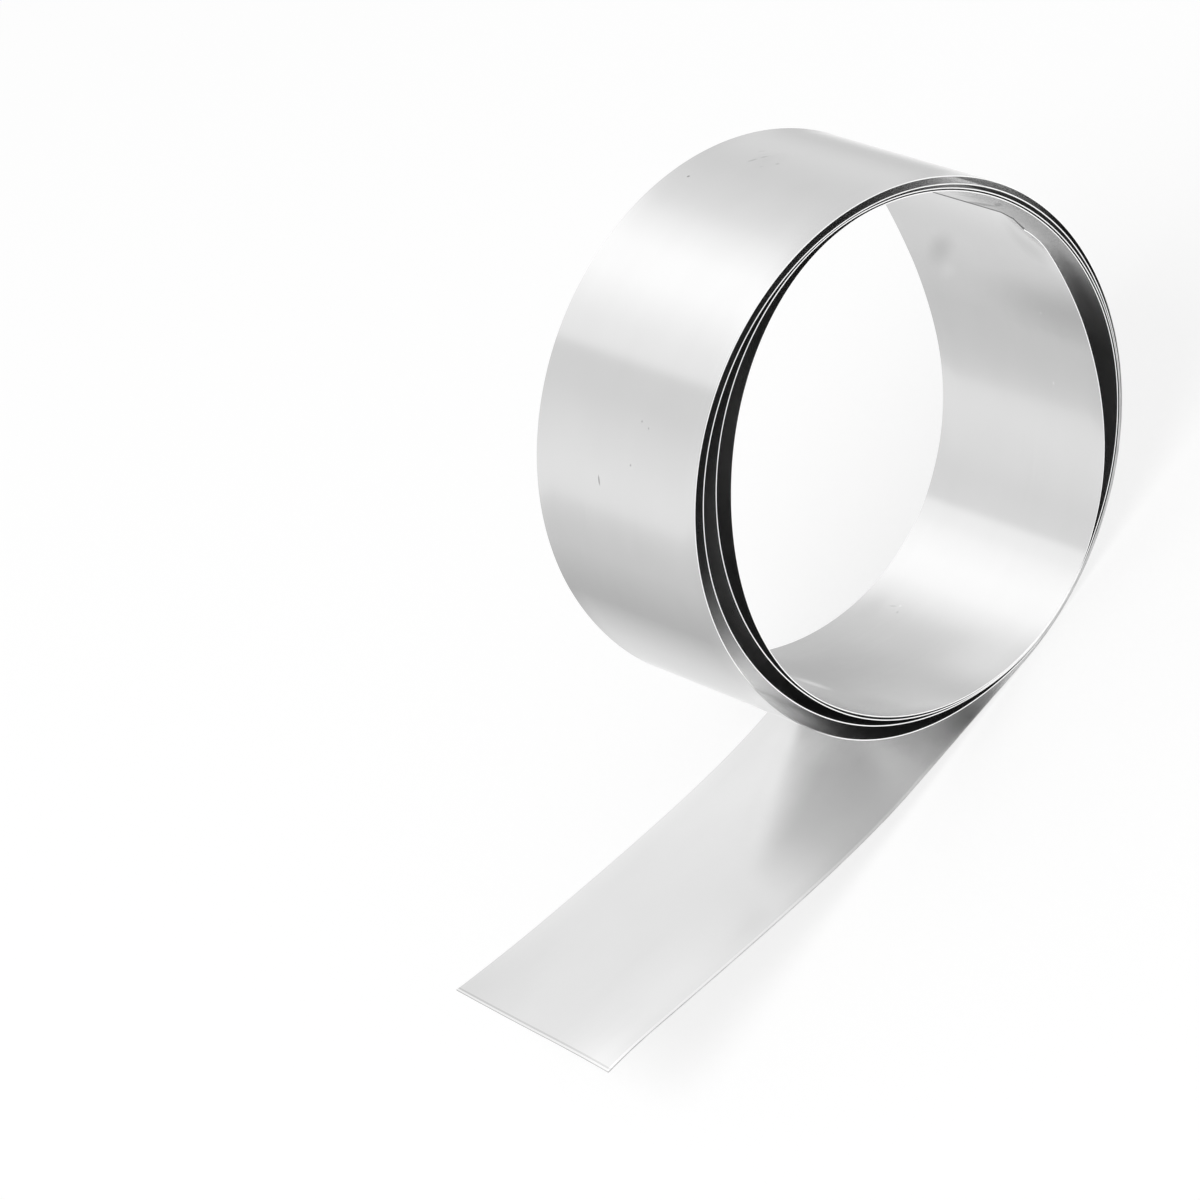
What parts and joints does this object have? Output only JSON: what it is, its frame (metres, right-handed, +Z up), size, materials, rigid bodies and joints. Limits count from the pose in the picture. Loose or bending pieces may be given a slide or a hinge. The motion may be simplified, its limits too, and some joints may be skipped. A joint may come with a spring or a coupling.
{
  "type": "stainless steel foil roll",
  "caption": "Loose coil of bright stainless steel foil strip with an open bore and square-cut ends, its outer end running out as a gently curled tail.",
  "frame": {"origin": "centre of the bounding box's underside, on the floor that the coil lies on", "axes": "+Z up, +Y along the coil's axis towards its back end, -X towards the free end of the tail"},
  "size_m": [0.1932, 0.05, 0.1192],
  "materials": {
    "stainless_foil": "bright rolled, satin mirror"
  },
  "bodies": {
    "root": {"foil_strip": "stainless_foil"}
  },
  "joints": []
}
